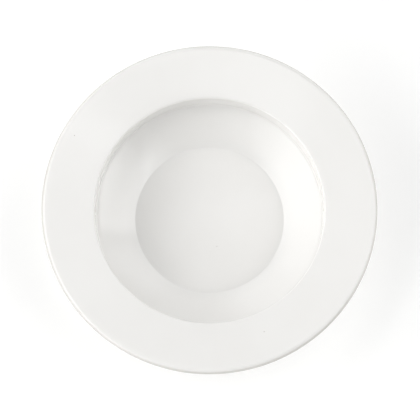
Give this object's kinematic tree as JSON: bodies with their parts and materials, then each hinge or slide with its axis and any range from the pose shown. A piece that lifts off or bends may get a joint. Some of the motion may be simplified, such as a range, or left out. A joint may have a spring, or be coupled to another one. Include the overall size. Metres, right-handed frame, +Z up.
{
  "type": "deep plate",
  "caption": "Round white porcelain deep plate with a wide sloping rim, a bowl-shaped well with a flat floor and a foot ring, for serving soup or pasta.",
  "frame": {"origin": "centre of the foot ring's standing face, on the surface the plate stands on", "axes": "+Z up along the plate's axis of revolution; +X and +Y lie in the standing face, and the plate looks the same from every side"},
  "size_m": [0.24, 0.24, 0.049],
  "materials": {
    "biscuit": "bare fired porcelain, matt and slightly gritty, seen on the wiped foot ring",
    "glaze": "clear gloss glaze over white porcelain"
  },
  "bodies": {
    "root": {"porcelain_body": "biscuit", "glaze_coat": "glaze", "base_glaze": "glaze"}
  },
  "joints": []
}
